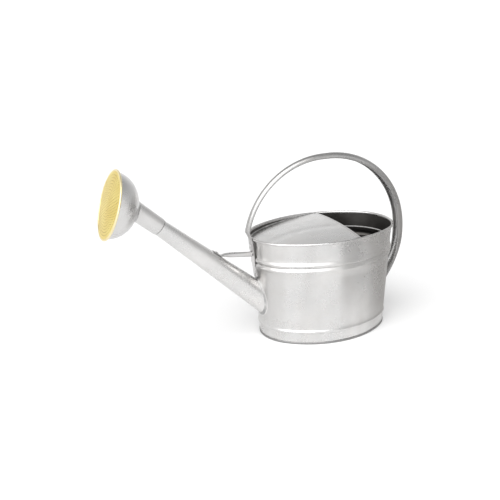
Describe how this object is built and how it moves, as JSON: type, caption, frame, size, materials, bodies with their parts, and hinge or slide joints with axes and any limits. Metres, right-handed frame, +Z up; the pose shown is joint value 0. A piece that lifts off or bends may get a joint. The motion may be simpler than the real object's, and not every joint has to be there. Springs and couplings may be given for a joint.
{
  "type": "watering can",
  "caption": "Oval galvanised watering can with a hoop handle, half-covered filler mouth, braced tapering spout and a brass-faced rose that turns and pulls off.",
  "frame": {"origin": "centre of the foot, on the plane the can stands on", "axes": "+Z up; the spout points along -X; the can is the same on both sides of the plane Y = 0"},
  "size_m": [0.5938, 0.1977, 0.3505],
  "materials": {
    "galvanised_wall": "galvanised, satin, faint mottling",
    "galvanised_cover": "galvanised, satin",
    "galvanised_base": "galvanised, dull",
    "galvanised_spout": "galvanised, satin, brushed along its length",
    "galvanised_handle": "galvanised, satin, worn bright in the hand",
    "galvanised_brace": "galvanised, satin",
    "galvanised_rose": "galvanised, satin, spun",
    "steel_wire": "bright drawn wire",
    "rivet_steel": "zinc coated, satin",
    "solder": "soft solder, slightly dull and uneven",
    "brass": "spun brass, satin",
    "black_rubber": "matt"
  },
  "bodies": {
    "root": {"tank_wall": "galvanised_wall", "base_pan": "galvanised_base", "rim_wire": "steel_wire", "half_cover": "galvanised_cover", "cover_wire": "steel_wire", "cover_solder": "solder", "spout_tube": "galvanised_spout", "spout_flange": "galvanised_spout", "spout_solder": "solder", "brace_tube": "galvanised_brace", "brace_rivet": "rivet_steel", "handle_hoop": "galvanised_handle", "front_strap": "galvanised_brace", "handle_front_rivets": "rivet_steel", "handle_rear_rivets": "rivet_steel"},
    "rose_seal": {"rose_seal": "black_rubber"},
    "rose": {"rose_neck": "galvanised_rose", "rose_shell": "galvanised_rose", "neck_solder": "solder", "rose_face": "brass"}
  },
  "joints": [
    {"name": "rose_pull", "type": "slide", "parent": "root", "child": "rose_seal", "axis": [-0.7518, 0, 0.6593], "range_m": [0, 0.06]},
    {"name": "rose_turn", "type": "hinge", "parent": "rose_seal", "child": "rose", "pos_m": [-0.131, 0, 0.0817], "axis": [-0.7518, 0, 0.6593], "continuous": true}
  ]
}
